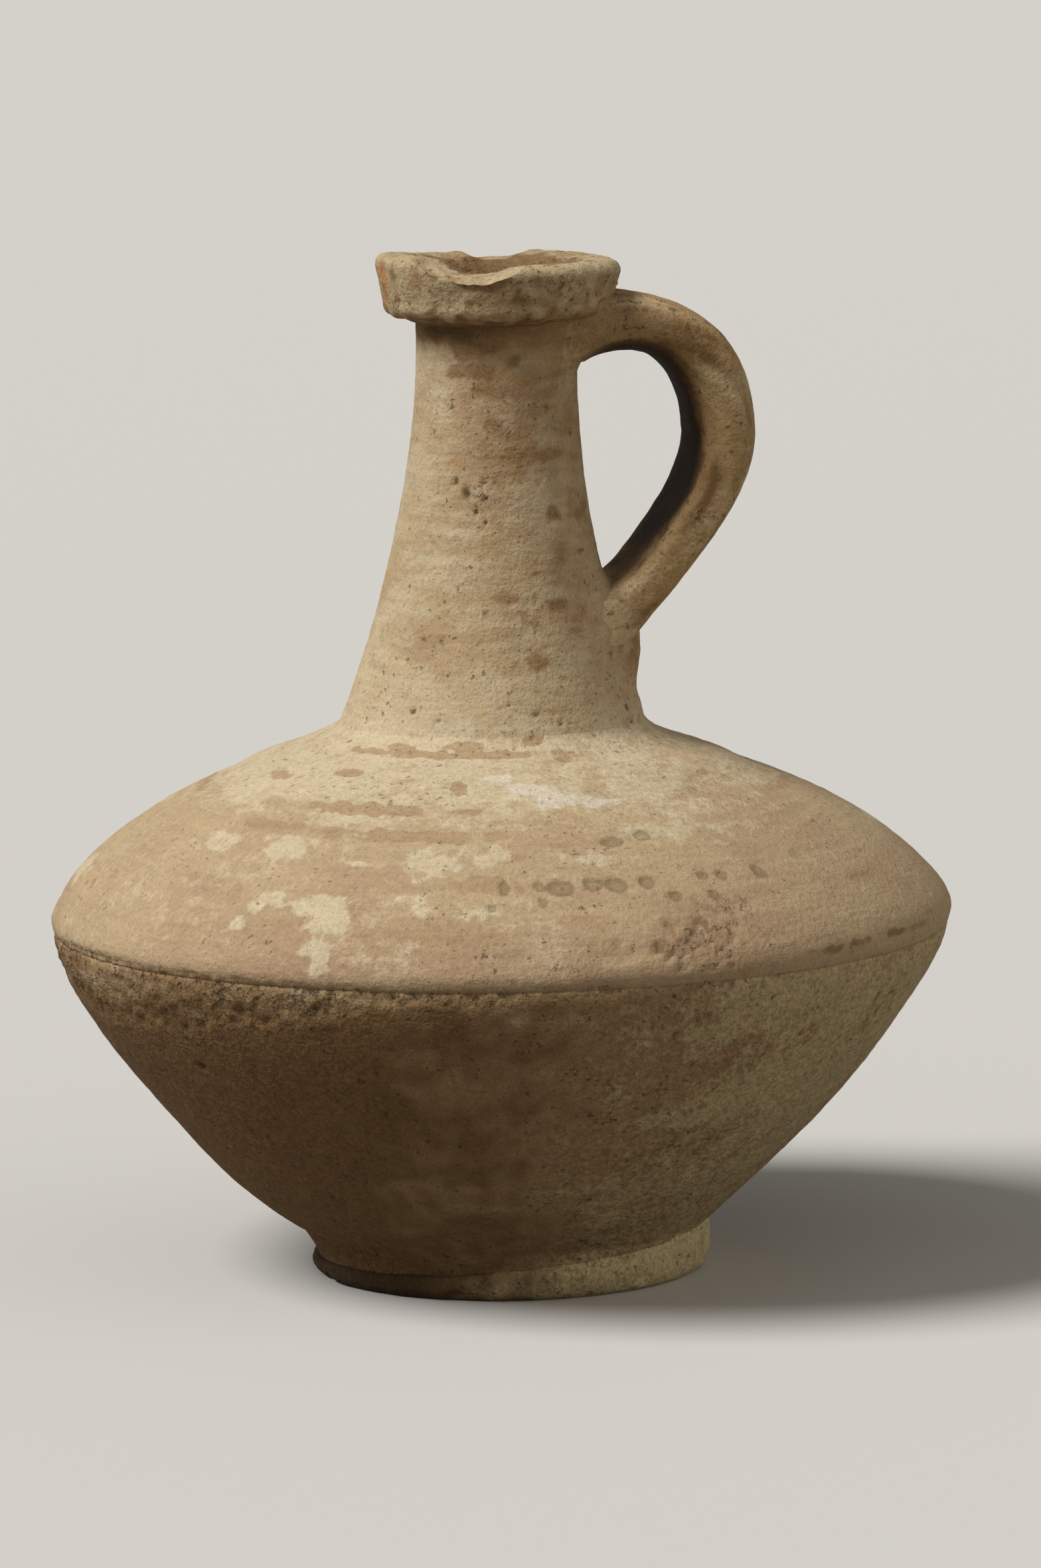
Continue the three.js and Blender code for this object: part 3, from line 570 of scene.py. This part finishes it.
# Materials
CHALK = srgb(222, 210, 190)
PORE = srgb(84, 62, 42)
FRECKLE = srgb(104, 76, 48)
MIX_MASK, MIX_BELOW, MIX_ABOVE, MIX_COLOUR = 0, 6, 7, 2  # sockets of a mix node set to colours


def plug(links, socket, value):
    """Links a socket to another, or sets it to a constant."""
    if isinstance(value, bpy.types.NodeSocket):
        links.new(value, socket)
    else:
        socket.default_value = value


def blended(nodes, links, below, above, mask):
    """One colour over another, as far as the mask lets it show."""
    mix = nodes.new("ShaderNodeMix")
    mix.data_type = "RGBA"
    plug(links, mix.inputs[MIX_MASK], mask)
    plug(links, mix.inputs[MIX_BELOW], below)
    plug(links, mix.inputs[MIX_ABOVE], above)
    return mix.outputs[MIX_COLOUR]


def fired_clay(name, clay, blush, slip, worn, stain, ochre, flaw, grain, wheel, bumps, roughness):
    """Matt clay whose tones follow the piece's own attributes, broken up by fine grain."""
    material = bpy.data.materials.new(name)
    material.use_nodes = True
    nodes, links = material.node_tree.nodes, material.node_tree.links
    shader = nodes["Principled BSDF"]
    place = nodes.new("ShaderNodeTexCoord").outputs["Object"]

    def speckle(size, detail, rough=0.55):
        texture = nodes.new("ShaderNodeTexNoise")
        texture.inputs["Scale"].default_value = 1 / (size * MM)
        texture.inputs["Detail"].default_value = detail
        texture.inputs["Roughness"].default_value = rough
        links.new(place, texture.inputs["Vector"])
        return texture.outputs["Fac"]

    def share(attribute):
        reader = nodes.new("ShaderNodeAttribute")
        reader.attribute_name = attribute
        return reader.outputs["Fac"]

    def math_node(operation, *values):
        step = nodes.new("ShaderNodeMath")
        step.operation = operation
        for socket, value in zip(step.inputs, values):
            plug(links, socket, value)
        return step.outputs[0]

    def more(value, amount, base):
        """base plus an amount of a speckle, counted from the speckle's middle."""
        return math_node("MULTIPLY_ADD", math_node("SUBTRACT", value, 0.5), amount, base)

    def ramp(value, low, high, bottom=0.0, top=1.0):
        step = nodes.new("ShaderNodeMapRange")
        step.interpolation_type = "SMOOTHSTEP"
        for socket, setting in zip(step.inputs, (value, low, high, bottom, top)):
            plug(links, socket, setting)
        return step.outputs[0]

    def layer(below, above, mask):
        return blended(nodes, links, below, above, mask)

    broad, middle, fine = speckle(9, 4), speckle(3.2, 4, 0.6), speckle(1.1, 3, 0.6)
    dust = speckle(0.5, 2)
    flat = nodes.new("ShaderNodeMapping")
    flat.inputs["Scale"].default_value = (0.09, 0.09, 1)
    links.new(place, flat.inputs["Vector"])
    lines = nodes.new("ShaderNodeTexNoise")
    lines.inputs["Scale"].default_value = 1 / (0.9 * MM)
    lines.inputs["Detail"].default_value = 2
    links.new(flat.outputs["Vector"], lines.inputs["Vector"])
    lines = lines.outputs["Fac"]

    grit = share("grit")
    slip_and_light_mask = ramp(more(fine, 0.4, more(middle, 0.6, share("slip"))), 0.3, 0.7)
    worn_mask = ramp(more(fine, 0.5, more(middle, 0.3, share("worn"))), 0.3, 0.65, 0, 0.9)
    chalk_mask = ramp(more(fine, 0.5, more(middle, 0.6, share("chalk"))), 0.25, 0.75, 0, 0.85)
    blush_mask = ramp(more(fine, 0.4, more(broad, 0.6, share("blush"))), 0.2, 0.95)
    stain_and_shade_mask = ramp(more(fine, 0.9, more(middle, 0.7, share("stain"))), 0.3, 0.85, 0, 0.85)
    ochre_mask = ramp(more(fine, 0.4, more(middle, 0.5, share("ochre"))), 0.35, 0.8, 0, 0.85)
    flaw_and_shade_mask = ramp(more(fine, 0.3, share("flaw")), 0.05, 1)
    pore_mask = ramp(math_node("MULTIPLY_ADD", grit, 0.24, speckle(1.5, 3, 0.6)), 0.68, 0.76)
    freckle_mask = ramp(math_node("MULTIPLY_ADD", grit, 0.1, speckle(0.8, 2)), 0.64, 0.72)

    colour = layer(clay, blush, blush_mask)
    colour = layer(colour, slip, slip_and_light_mask)
    colour = layer(colour, worn, worn_mask)
    colour = layer(colour, CHALK, chalk_mask)
    colour = layer(colour, stain, stain_and_shade_mask)
    colour = layer(colour, ochre, ochre_mask)
    colour = layer(colour, flaw, flaw_and_shade_mask)
    colour = layer(colour, PORE, math_node("MULTIPLY", pore_mask, 0.55))
    colour = layer(colour, FRECKLE, math_node("MULTIPLY", freckle_mask, 0.4))
    shade = nodes.new("ShaderNodeHueSaturation")
    links.new(colour, shade.inputs["Color"])
    value = more(fine, grain, more(middle, 0.4 * grain, more(lines, wheel, 1.0)))
    links.new(more(dust, 0.25 + 0.4 * grain, value), shade.inputs["Value"])
    links.new(shade.outputs["Color"], shader.inputs["Base Color"])

    links.new(ramp(slip_and_light_mask, 0, 1, roughness, roughness - 0.1), shader.inputs["Roughness"])
    shader.inputs["Specular IOR Level"].default_value = 0.25

    height = more(dust, 0.35, more(middle, 0.5, more(lines, wheel, fine)))
    height = math_node("MULTIPLY_ADD", pore_mask, -0.9, height)
    height = math_node("MULTIPLY_ADD", slip_and_light_mask, 0.15, height)
    bump = nodes.new("ShaderNodeBump")
    bump.inputs["Strength"].default_value = bumps
    bump.inputs["Distance"].default_value = 0.45 * MM
    links.new(height, bump.inputs["Height"])
    links.new(bump.outputs["Normal"], shader.inputs["Normal"])
    return material


SLIPPED = fired_clay("slipped clay", clay=srgb(193, 169, 134), blush=srgb(181, 152, 121), slip=srgb(209, 192, 160),
                     worn=srgb(179, 151, 117), stain=srgb(142, 110, 76), ochre=srgb(176, 138, 88),
                     flaw=srgb(108, 88, 58), grain=0.55, wheel=0.25, bumps=0.6, roughness=0.94)
BARE = fired_clay("bare clay", clay=srgb(168, 141, 104), blush=srgb(162, 127, 95), slip=srgb(192, 171, 131),
                  worn=srgb(160, 134, 98), stain=srgb(124, 94, 60), ochre=srgb(160, 112, 70), flaw=srgb(76, 54, 34),
                  grain=1.5, wheel=0.15, bumps=1.0, roughness=0.96)
# The flaw colours of the foot, rim and handle below serve only as painted shade and painted shadow.
FOOT = fired_clay("foot clay", clay=srgb(190, 166, 124), blush=srgb(178, 148, 110), slip=srgb(214, 193, 149),
                  worn=srgb(168, 138, 102), stain=srgb(118, 90, 58), ochre=srgb(160, 112, 70), flaw=srgb(62, 44, 26),
                  grain=1.3, wheel=0.1, bumps=0.8, roughness=0.95)
RIM = fired_clay("rim clay", clay=srgb(176, 149, 113), blush=srgb(164, 131, 99), slip=srgb(194, 174, 138),
                 worn=srgb(164, 131, 99), stain=srgb(122, 90, 56), ochre=srgb(186, 130, 80), flaw=srgb(62, 42, 22),
                 grain=0.8, wheel=0.1, bumps=0.8, roughness=0.94)
HANDLE = fired_clay("handle clay", clay=srgb(176, 147, 105), blush=srgb(170, 138, 104), slip=srgb(200, 177, 138),
                    worn=srgb(160, 128, 96), stain=srgb(112, 82, 48), ochre=srgb(160, 108, 60), flaw=srgb(40, 26, 13),
                    grain=0.8, wheel=0.0, bumps=0.7, roughness=0.94)


# Finished pieces
SEAM_MARGIN = 0.15  # faces that lie this near to the seam are shaded flat, so that it shows no dark line


def finished(name, bm, clay, relief, tones, ring=lambda radius, height: radius - height, before=None, aside=None):
    """Gives a shaped piece its skin, lean, clay and place in the part."""
    for face in bm.faces:
        face.smooth = any(abs(vert.co.z / MM - EDGE_Z) > SEAM_MARGIN for vert in face.verts)
    mesh = bpy.data.meshes.new(name + "_clay")
    bm.to_mesh(mesh)
    bm.free()
    skin = Skin(mesh, ring)
    moved = skin.points + skin.out * relief(skin)[:, None]
    if before:
        moved = before(skin, moved)
    shift = np.interp(moved[:, 2], LEAN_HEIGHTS, LEAN_SHIFTS) if aside is None else np.full(len(moved), aside)
    moved = moved + shift[:, None] * np.array(TO_RIGHT)
    moved[:, 2] = np.maximum(moved[:, 2], 0)
    mesh.vertices.foreach_set("co", (moved * MM).ravel())
    for tone, values in tones(skin).items():
        mesh.attributes.new(tone, "FLOAT", "POINT").data.foreach_set("value", values)
    mesh.update()
    piece = bpy.data.objects.new(name + "_skin", mesh)
    bpy.context.scene.collection.objects.link(piece)
    mesh.materials.append(clay)
    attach(piece, "root")
    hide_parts(name)
    return piece


FOOT_DRAWN = 6  # height that the ring is drawn with, before its top is slanted


def foot_ring():
    """A ring whose top follows the slanting cut under the bowl."""
    side = arc((36.6, 0), (38.9, 0.04), (39.5, 0.45)) + arc((39.5, 0.45), (39.8, 0.95), (38.4, 1.06))[1:]
    outline = even([(r, FOOT_DRAWN * share) for r, share in side], 0.45)
    outline += even([(38.4, 6.4), (27, 6.1), (26.6, 3), (27.4, 0), (36.6, 0)], 1.2)[1:-1]
    bm = turned(outline, sides=560)
    for vert in bm.verts:
        vert.co.z *= (FOOT_MIDDLE * MM + FOOT_SLOPE * vert.co.x) / (FOOT_DRAWN * MM)
    return finished("foot_ring", bm, FOOT, foot_relief, foot_tones, aside=FOOT_ASIDE)


def lower_bowl():
    """The thrown bowl, cut slanting off the wheel."""
    wall = even(BOWL, 0.8)
    lip = [(88, EDGE_Z + SEAM), (EDGE_INNER_RADIUS, EDGE_Z + SEAM)]
    hollow = [p for p in even(inward(BOWL, BODY_WALL), 4) if p[1] > FLOOR_Z][::-1]
    floor = [(r, FLOOR_Z) for r in (36, 26, 14, 4)]
    base = [(r, 0) for r in (4, 14, 26)]
    bm = turned(wall + lip + hollow + floor + base, sides=768)
    cut = bmesh.ops.bisect_plane(bm, geom=bm.verts[:] + bm.edges[:] + bm.faces[:],
                                 plane_co=(0, 0, FOOT_MIDDLE * MM), plane_no=(-FOOT_SLOPE, 0, 1),
                                 clear_inner=True)
    rims = [e for e in cut["geom_cut"] if isinstance(e, bmesh.types.BMEdge)]
    bmesh.ops.holes_fill(bm, edges=rims)
    bmesh.ops.recalc_face_normals(bm, faces=bm.faces)
    return finished("lower_bowl", bm, BARE, bowl_relief, bowl_tones, lambda radius, height: height)


def shoulder():
    """The thrown dome, with a rounded roll above the edge."""
    roll = arc((88.38, EDGE_Z - 0.05), (88.7, EDGE_Z + 0.6), (89, 71), steps=6)
    top = even(roll + [p for p in DOME[1:] if p[0] > 50], 0.7) + even([p for p in DOME if p[0] < 50], 3)
    throat = [(SHOULDER_HOLE, SEAT_Z), (SHOULDER_HOLE, SEAT_Z - BODY_WALL)]
    hollow = [p for p in even(inward(DOME, BODY_WALL), 4) if p[0] > SHOULDER_HOLE + 1.5][::-1]
    bm = turned(top + throat + hollow + [(EDGE_INNER_RADIUS, EDGE_Z + SEAM)], sides=832)
    return finished("shoulder", bm, SLIPPED, upper_relief, upper_tones)


def neck_luting_coil():
    """Clay smoothed over the joint of shoulder and neck."""
    reach, climb, buried, depth = 52.5, 110.3, 0.12, 1.2
    foot = (reach, dome_height(reach) - buried)
    head = (neck_radius(climb) - buried, climb)
    face = even(arc(foot, (48.2, 101.9), (42.6, 103.7)) + arc((42.6, 103.7), (30.6, 107.4), head)[1:], 0.45)
    back = [(neck_radius(z) - depth, z) for z in (climb - depth, 107.5)]
    bed = [(r, dome_height(r) - depth) for r in (33, 38, 44, reach - 2)]
    bm = turned(face + back + bed, sides=560)
    return finished("neck_luting_coil", bm, SLIPPED, upper_relief, upper_tones)


def neck():
    """The thrown tube, flared at its base."""
    wall = even(NECK + [(16.1, NECK_END_Z)], 0.6)
    bore = [(11.3, NECK_END_Z)] + even(inward(NECK, NECK_WALL), 4)[::-1]
    bm = turned(wall + bore, sides=368)
    return finished("neck", bm, SLIPPED, upper_relief, upper_tones)


# Height of the break in the rim by angle, how it falls outward, and the dip on its far side
UNBROKEN = 202.5  # above the whole collar
BREAK_ANGLES = (-154, -148, -143, -137, -130, -122, -114, -107, -101, -96, -91, -85, -78)
BREAK_HEIGHTS = (UNBROKEN, 200.9, 200.0, 199.1, 198.5, 198.2, 198.2, 198.5, 199.0, 199.5, 200.0, 200.6, UNBROKEN)
BREAK_FALLS = (0, 0, 0, 0.04, 0.12, 0.25, 0.34, 0.34, 0.26, 0.16, 0.06, 0, 0)
DIP_ANGLES = (52, 62, 72, 88, 97, 107)
DIP_HEIGHTS = (UNBROKEN, 200.2, 199.1, 198.9, 199.8, UNBROKEN)


def break_rim(skin, moved):
    """Takes off what broke or wore away from the top of the collar."""
    top = np.interp(skin.angle, BREAK_ANGLES, BREAK_HEIGHTS)
    fall = np.interp(skin.angle, BREAK_ANGLES, BREAK_FALLS)
    top = top - fall * np.clip(skin.radius - 20, 0, 5) + 0.25 * skin.lumps(4, 3.3) + 0.2 * skin.lumps(1.6, 8.9)
    dip = np.interp(skin.angle, DIP_ANGLES, DIP_HEIGHTS) + 0.15 * skin.lumps(3, 1.5)
    moved[:, 2] += 1.2 * skin.facing(-170, 75) * np.clip((skin.height - 192) / 7, 0, 1)
    worn = skin.facing(-20, 85)
    over = np.clip(np.hypot(np.clip(skin.radius - 21, 0, 9), np.clip(skin.height - 196.6, 0, 9)) - 3.2, 0, 3)
    moved[:, :2] *= (1 - 0.5 * worn * over / np.maximum(skin.radius, 1))[:, None]
    moved[:, 2] -= worn * (0.1 + 0.4 * over)
    moved[:, 2] = np.minimum(moved[:, 2], np.minimum(top, dip))
    ragged = np.clip((193 - skin.height) / 3, 0, 1) * np.clip((skin.radius - 17) / 3, 0, 1)
    moved[:, 2] += ragged * (0.45 * skin.lumps(6, 4.3) + 0.22 * skin.lumps(2.5, 7.9))
    return moved


def rim_collar():
    """The thick collar round the mouth, chipped at its crest."""
    side = arc((19.5, 189.5), (22.5, 189.5), (22.5, 192.5)) + arc((24.3, 198.4), (24.3, CREST_Z), (21.4, CREST_Z))
    mouth = arc((20.4, CREST_Z), (12.2, CREST_Z), (BORE_RADIUS, 193))
    outer = even([(15.6, COLLAR_FOOT_Z)] + side + mouth, 0.42)
    bm = turned(outer + [(BORE_RADIUS, 190), (BORE_RADIUS, COLLAR_FOOT_Z)], sides=480)
    return finished("rim_collar", bm, RIM, rim_relief, rim_tones, before=break_rim)


# Handle: middle line of the strap, out from the neck and down to its lower root
STRAP = [(8.5, 187.8)] + arc((11.1, 188), (37.5, 190.6), (45.6, 179.5), (46, 164.8))
STRAP += arc((46, 164.8), (46, 151.8), (30, 137.4), (17.2, 120.2))[1:]
STRAP_WIDTH = 26
STRAP_THICKNESS = 10.8
STRAP_SIDES = 88
STRAP_STEP = 0.7
STRAP_LEAD = 6.5  # the section changes as if the strap began this far back


def strap_section(along, total, turn):
    """Place on the strap's section: half width, and depth towards its outer face."""
    share = (along + STRAP_LEAD) / (total + STRAP_LEAD)
    upper = np.clip(1 - (along - 7.5) / 16, 0, 1)
    lower = np.clip(1 - (total - along - 9) / 16, 0, 1)
    round_part = np.clip((share - 0.05) * 10, 0, 1) * np.clip((0.64 - share) * 6, 0, 1)
    bend = np.clip((share - 0.28) * 10, 0, 1) * np.clip((0.64 - share) * 6, 0, 1)
    slim = np.clip((share - 0.55) * 5, 0, 1)
    half_width = STRAP_WIDTH / 2 + 0.6 * upper ** 2 + 1.0 * lower ** 2
    thick = STRAP_THICKNESS / 2 - 0.3 * abs(2 * share - 1) - 0.7 * lower
    outer = thick + 0.2 * upper ** 2 + 0.9 * lower ** 2 - 0.5 * slim
    inner = thick + 0.5 + 3 * upper ** 2 + 1.4 * bend + 4.4 * lower ** 2 - 0.9 * slim
    across, through = math.sin(turn), math.cos(turn)
    square, flat = (0.42 + 0.45 * round_part, 0.5 + 0.4 * round_part) if through < 0 else (0.78, 0.72)
    depth = math.copysign(abs(through) ** square, through) * (outer if through > 0 else inner)
    return math.copysign(abs(across) ** flat, across) * half_width, depth


def strap_handle():
    """The pulled strap, pressed on below the rim and above the shoulder."""
    spine = [Vector((x, 0, z)) for x, z in even(STRAP, STRAP_STEP)]
    total = STRAP_STEP * len(spine)
    bm = bmesh.new()
    ring = bmesh.ops.create_circle(bm, cap_ends=True, segments=STRAP_SIDES, radius=MM)["verts"]
    loop = bm.edges[:]
    for step, middle in enumerate(spine):
        if step:
            grown = bmesh.ops.extrude_edge_only(bm, edges=loop)["geom"]
            fresh = {item for item in grown if isinstance(item, bmesh.types.BMVert)}
            loop = [item for item in grown if isinstance(item, bmesh.types.BMEdge) and fresh.issuperset(item.verts)]
            ring = [next(e.other_vert(v) for e in v.link_edges if e.other_vert(v) in fresh) for v in ring]
        ahead = spine[min(step + 1, len(spine) - 1)] - spine[max(step - 1, 0)]
        ahead.normalize()
        outward = Vector((-ahead.z, 0, ahead.x))
        for number, vert in enumerate(ring):
            width, depth = strap_section(STRAP_STEP * step, total, 2 * math.pi * number / STRAP_SIDES)
            vert.co = (middle + outward * depth + Vector((0, width, 0))) * MM
    bmesh.ops.holes_fill(bm, edges=loop)
    ends = bmesh.ops.poke(bm, faces=[face for face in bm.faces if len(face.verts) > 4])["verts"]
    bmesh.ops.subdivide_edges(bm, edges=[edge for vert in ends for edge in vert.link_edges], cuts=4)
    bmesh.ops.recalc_face_normals(bm, faces=bm.faces)
    return finished("strap_handle", bm, HANDLE, handle_relief, handle_tones, before=press_on)


def press_on(skin, moved):
    """Spreads the roots round the neck, and keeps them in the outer part of its wall."""
    height = moved[:, 2]
    wall = neck_radius(height)
    radius = np.hypot(moved[:, 0], moved[:, 1])
    angle = np.arctan2(moved[:, 1], moved[:, 0])
    close = np.clip((wall + 8 - radius) / 8, 0, 1) ** 2
    wider = np.where(height < GAP_MIDDLE[2] - 5, np.clip(0.3 + (134 - height) * 0.04, 0.25, 0.7), 0.1)
    angle = np.clip(angle * (1 + wider * close), -1.9, 1.9)
    low = np.clip((138 - height) / 9, 0, 1)
    thin = 1 - 0.95 * np.clip((abs(angle) - 0.45 + 0.25 * low) / (0.65 - 0.15 * low), 0, 1) * close
    radius = wall + np.maximum(radius - wall, -2) * thin - 0.3 * (1 - thin)
    moved[:, 0] = radius * np.cos(angle)
    moved[:, 1] = radius * np.sin(angle)
    return moved


FAN_Z = 182  # where the upper patch begins to fan out


def luting_patch(name, middle, half_width, half_height, mound, fan=0):
    """Clay smeared over a root of the handle, thinning out on the neck, or fanned out to the collar above."""
    bm = bmesh.new()
    bmesh.ops.create_grid(bm, x_segments=90, y_segments=80, size=1)
    grown = bmesh.ops.extrude_face_region(bm, geom=bm.faces[:])["geom"]
    raised = {item for item in grown if isinstance(item, bmesh.types.BMVert)}
    for vert in bm.verts:
        across, climb = vert.co.x, vert.co.y
        spread = math.sqrt(1 - climb * climb / 2) * across, math.sqrt(1 - across * across / 2) * climb
        height = middle + spread[1] * half_height
        away = min(1, math.hypot(*spread))
        radius = neck_radius(height)
        rise = mound * (1 - away * away) ** 2 - 0.3 if vert in raised else -1.6
        angle = spread[0] * half_width / radius
        rise += fan * max(0, (height - FAN_Z) / (middle + half_height - FAN_Z)) ** 1.5 * (1 - spread[0] * spread[0])
        vert.co = Vector(((radius + rise) * math.cos(angle), (radius + rise) * math.sin(angle), height)) * MM
    bmesh.ops.recalc_face_normals(bm, faces=bm.faces)
    return finished(name, bm, SLIPPED, patch_relief, patch_tones)


def patch_tones(skin):
    """The neck's slip, browner towards the root."""
    tones = upper_tones(skin)
    thick = np.clip((skin.radius - neck_radius(skin.height) - 0.3) / 1.6, 0, 1)
    tones["slip"] -= 0.3 * thick
    tones["stain"] += thick * (0.35 + 0.4 * skin.lumps(3.6, 2.2))
    tones["blush"] += 0.3 * thick
    return tones


def patch_relief(skin):
    outer = np.clip((skin.radius - neck_radius(skin.height) + 0.4) / 1.2, 0, 1)
    return hand(skin) + outer * (0.35 * skin.lumps(5, 3.2) + 0.15 * skin.lumps(2.2, 6.9))


foot_ring()
lower_bowl()
shoulder()
neck_luting_coil()
neck()
rim_collar()
strap_handle()
luting_patch("upper_luting_patch", middle=185.5, half_width=25, half_height=9.5, mound=2.5, fan=8)
luting_patch("lower_luting_patch", middle=127, half_width=27, half_height=14.5, mound=4.5)


# Studio: pale floor, soft key light from the left, and a little light all round

FLOOR_SEEN = (0.72, 0.71, 0.69, 1)
FLOOR_BOUNCE = (0.16, 0.14, 0.115, 1)  # what the floor throws back on the jug
AROUND_SEEN = (0.66, 0.655, 0.64, 1)
AROUND_LIGHT = (0.08, 0.075, 0.065, 1)


def seen_rays(nodes, links):
    """1 for what the camera sees, straight on or in a shiny or clear surface."""
    rays = nodes.new("ShaderNodeLightPath").outputs
    seen = rays["Is Camera Ray"]
    for kind in ("Is Glossy Ray", "Is Transmission Ray"):
        either = nodes.new("ShaderNodeMath")
        either.operation = "MAXIMUM"
        links.new(seen, either.inputs[0])
        links.new(rays[kind], either.inputs[1])
        seen = either.outputs[0]
    return seen


def plain_floor():
    mesh = bpy.data.meshes.new("floor")
    bm = bmesh.new()
    bmesh.ops.create_circle(bm, cap_ends=True, segments=128, radius=9)
    bm.to_mesh(mesh)
    bm.free()
    material = bpy.data.materials.new("pale floor")
    material.use_nodes = True
    nodes, links = material.node_tree.nodes, material.node_tree.links
    tint = blended(nodes, links, FLOOR_BOUNCE, FLOOR_SEEN, seen_rays(nodes, links))
    shader = nodes["Principled BSDF"]
    links.new(tint, shader.inputs["Base Color"])
    shader.inputs["Roughness"].default_value = 0.9
    mesh.materials.append(material)
    floor = bpy.data.objects.new("floor", mesh)
    bpy.context.scene.collection.objects.link(floor)


def soft_sun(name, energy, spread, side, climb, tint):
    """Light from one side of the viewpoint, counted to the left, and above it."""
    sun = bpy.data.lights.new(name, "SUN")
    sun.energy = energy
    sun.angle = math.radians(spread)
    sun.color = tint
    lamp = bpy.data.objects.new(name, sun)
    bpy.context.scene.collection.objects.link(lamp)
    side, climb = math.radians(side), math.radians(climb)
    towards = -TO_BACK * math.cos(side) - TO_RIGHT * math.sin(side)
    towards = towards * math.cos(climb) + Vector((0, 0, math.sin(climb)))
    lamp.rotation_euler = towards.to_track_quat("Z", "Y").to_euler()


def studio_light():
    soft_sun("key light", energy=2.85, spread=27, side=65, climb=50.5, tint=(1, 0.98, 0.945))
    soft_sun("fill light", energy=0.8, spread=70, side=-75, climb=3, tint=(1, 0.955, 0.86))
    soft_sun("front light", energy=0.25, spread=80, side=10, climb=50, tint=(1, 0.98, 0.94))
    world = bpy.data.worlds.new("studio")
    bpy.context.scene.world = world
    world.use_nodes = True
    nodes, links = world.node_tree.nodes, world.node_tree.links
    tint = blended(nodes, links, AROUND_LIGHT, AROUND_SEEN, seen_rays(nodes, links))
    links.new(tint, nodes["Background"].inputs["Color"])


def viewpoint():
    """The camera, as it stood before the jug."""
    ahead = TO_BACK * math.cos(VIEW_ASIDE) + TO_RIGHT * math.sin(VIEW_ASIDE)
    right = Vector((ahead.y, -ahead.x, 0))
    view = ahead * math.cos(VIEW_PITCH) - Vector((0, 0, math.sin(VIEW_PITCH)))
    up = right.cross(view)
    right, up = (right * math.cos(VIEW_ROLL) - up * math.sin(VIEW_ROLL),
                 up * math.cos(VIEW_ROLL) + right * math.sin(VIEW_ROLL))
    lens = bpy.data.cameras.new("camera")
    lens.sensor_fit = "VERTICAL"
    lens.sensor_height = FILM_HEIGHT
    lens.lens = LENS
    camera = bpy.data.objects.new("camera", lens)
    bpy.context.scene.collection.objects.link(camera)
    stand = -TO_BACK * VIEW_DISTANCE + Vector((0, 0, VIEW_HEIGHT))
    turn = Matrix((right, up, -view)).transposed()
    camera.matrix_world = Matrix.Translation(stand * MM) @ turn.to_4x4()
    bpy.context.scene.camera = camera


plain_floor()
studio_light()
viewpoint()
bpy.context.scene.view_settings.view_transform = "Standard"
